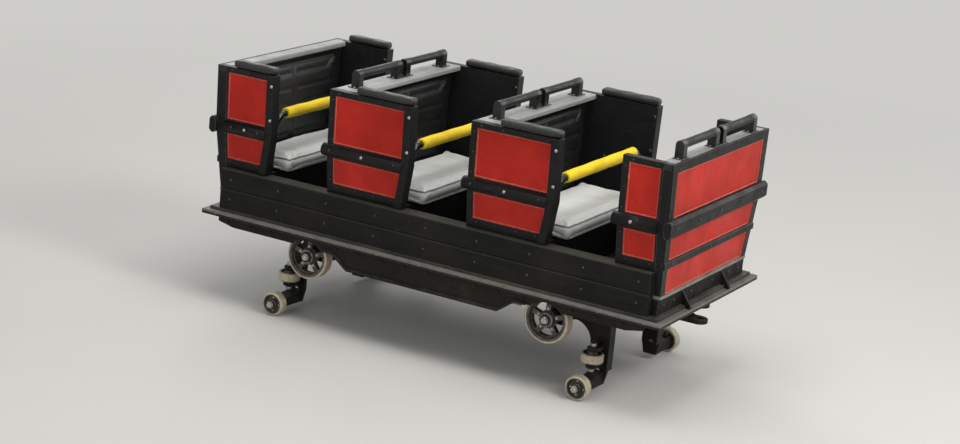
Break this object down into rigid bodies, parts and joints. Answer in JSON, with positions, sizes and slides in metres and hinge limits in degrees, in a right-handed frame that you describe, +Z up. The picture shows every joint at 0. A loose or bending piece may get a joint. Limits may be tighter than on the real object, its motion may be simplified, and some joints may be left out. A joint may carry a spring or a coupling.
{
  "type": "roller coaster car",
  "caption": "Open roller coaster car with rows of bench seats between leaning side wings, hinged lap bars, and running, guide and upstop wheels for round rails.",
  "frame": {"origin": "centre of the bounding box's base, on the floor that the four upstop wheels stand on", "axes": "+X forward along the train, +Y to the left, +Z up"},
  "size_m": [2.645, 1.1199, 1.3049],
  "materials": {
    "black_frame": "semi-gloss black paint, chipped at the edges",
    "black_boards": "black paint over boards",
    "deck_plate": "dark non-slip deck",
    "red_panel": "gloss red panel with pale worn edges",
    "worn_trim": "worn light grey steel rail",
    "grey_shelf": "light grey worn ledge",
    "chassis_black": "black paint with dust and grease",
    "bare_fin": "bare steel, scraped by the brakes",
    "white_vinyl": "light grey vinyl over foam",
    "black_vinyl": "black vinyl over foam",
    "handle_black": "black coated tube",
    "bar_black": "black painted tube",
    "yellow_pad": "yellow foam sleeve",
    "running_wheel": "cast hub with a pale rim and hard tyre",
    "small_wheel": "cast hub with a hard tyre"
  },
  "bodies": {
    "car": {"floor_deck": "deck_plate", "trim_rail": "worn_trim", "spine_frame": "chassis_black", "cross_members": "chassis_black", "side_frames": "chassis_black", "front_axle": "chassis_black", "rear_axle": "chassis_black", "sills": "black_boards", "end_aprons": "black_boards", "front_wall": "black_frame", "rear_wall": "black_frame", "rear_wings": "black_frame", "mid_wings": "black_frame", "fore_wings": "black_frame", "nose_wings": "black_frame", "wing_panels": "red_panel", "end_panels": "red_panel", "seat_backs": "black_boards", "shelves": "grey_shelf", "end_caps": "grey_shelf", "benches": "black_boards", "seat_cushions": "white_vinyl", "back_pads": "black_vinyl", "arm_pads": "black_vinyl", "grab_handles": "handle_black", "lap_brackets": "chassis_black", "rear_drawbar": "chassis_black", "front_coupling": "chassis_black", "brake_fin": "bare_fin"},
    "wheel_rl": {"wheel_rl": "running_wheel"},
    "guide_rl": {"guide_rl": "small_wheel"},
    "upstop_rl": {"upstop_rl": "small_wheel"},
    "wheel_rr": {"wheel_rr": "running_wheel"},
    "guide_rr": {"guide_rr": "small_wheel"},
    "upstop_rr": {"upstop_rr": "small_wheel"},
    "wheel_fl": {"wheel_fl": "running_wheel"},
    "guide_fl": {"guide_fl": "small_wheel"},
    "upstop_fl": {"upstop_fl": "small_wheel"},
    "wheel_fr": {"wheel_fr": "running_wheel"},
    "guide_fr": {"guide_fr": "small_wheel"},
    "upstop_fr": {"upstop_fr": "small_wheel"},
    "lap_rear": {"lap_bar_rear": "bar_black", "lap_pad_rear": "yellow_pad"},
    "lap_mid": {"lap_bar_mid": "bar_black", "lap_pad_mid": "yellow_pad"},
    "lap_fore": {"lap_bar_fore": "bar_black", "lap_pad_fore": "yellow_pad"}
  },
  "joints": [
    {"name": "wheel_rl_spin", "type": "hinge", "parent": "car", "child": "wheel_rl", "pos_m": [-0.6175, 0.48795, 0.353], "axis": [0, 1, 0], "continuous": true},
    {"name": "guide_rl_spin", "type": "hinge", "parent": "car", "child": "guide_rl", "pos_m": [-0.8075, 0.37195, 0.181], "axis": [0, 0, 1], "continuous": true},
    {"name": "upstop_rl_spin", "type": "hinge", "parent": "car", "child": "upstop_rl", "pos_m": [-0.8075, 0.48795, 0.06], "axis": [0, 1, 0], "continuous": true},
    {"name": "wheel_rr_spin", "type": "hinge", "parent": "car", "child": "wheel_rr", "pos_m": [-0.6175, -0.48795, 0.353], "axis": [0, 1, 0], "continuous": true},
    {"name": "guide_rr_spin", "type": "hinge", "parent": "car", "child": "guide_rr", "pos_m": [-0.8075, -0.37195, 0.181], "axis": [0, 0, 1], "continuous": true},
    {"name": "upstop_rr_spin", "type": "hinge", "parent": "car", "child": "upstop_rr", "pos_m": [-0.8075, -0.48795, 0.06], "axis": [0, 1, 0], "continuous": true},
    {"name": "wheel_fl_spin", "type": "hinge", "parent": "car", "child": "wheel_fl", "pos_m": [0.7265, 0.48795, 0.353], "axis": [0, 1, 0], "continuous": true},
    {"name": "guide_fl_spin", "type": "hinge", "parent": "car", "child": "guide_fl", "pos_m": [0.9165, 0.37195, 0.181], "axis": [0, 0, 1], "continuous": true},
    {"name": "upstop_fl_spin", "type": "hinge", "parent": "car", "child": "upstop_fl", "pos_m": [0.9165, 0.48795, 0.06], "axis": [0, 1, 0], "continuous": true},
    {"name": "wheel_fr_spin", "type": "hinge", "parent": "car", "child": "wheel_fr", "pos_m": [0.7265, -0.48795, 0.353], "axis": [0, 1, 0], "continuous": true},
    {"name": "guide_fr_spin", "type": "hinge", "parent": "car", "child": "guide_fr", "pos_m": [0.9165, -0.37195, 0.181], "axis": [0, 0, 1], "continuous": true},
    {"name": "upstop_fr_spin", "type": "hinge", "parent": "car", "child": "upstop_fr", "pos_m": [0.9165, -0.48795, 0.06], "axis": [0, 1, 0], "continuous": true},
    {"name": "lap_rear_hinge", "type": "hinge", "parent": "car", "child": "lap_rear", "pos_m": [-0.9455, 0, 0.738], "axis": [0, 1, 0], "range_deg": [0, 45]},
    {"name": "lap_mid_hinge", "type": "hinge", "parent": "car", "child": "lap_mid", "pos_m": [-0.1555, 0, 0.738], "axis": [0, 1, 0], "range_deg": [0, 45]},
    {"name": "lap_fore_hinge", "type": "hinge", "parent": "car", "child": "lap_fore", "pos_m": [0.6345, 0, 0.738], "axis": [0, 1, 0], "range_deg": [0, 45]}
  ]
}
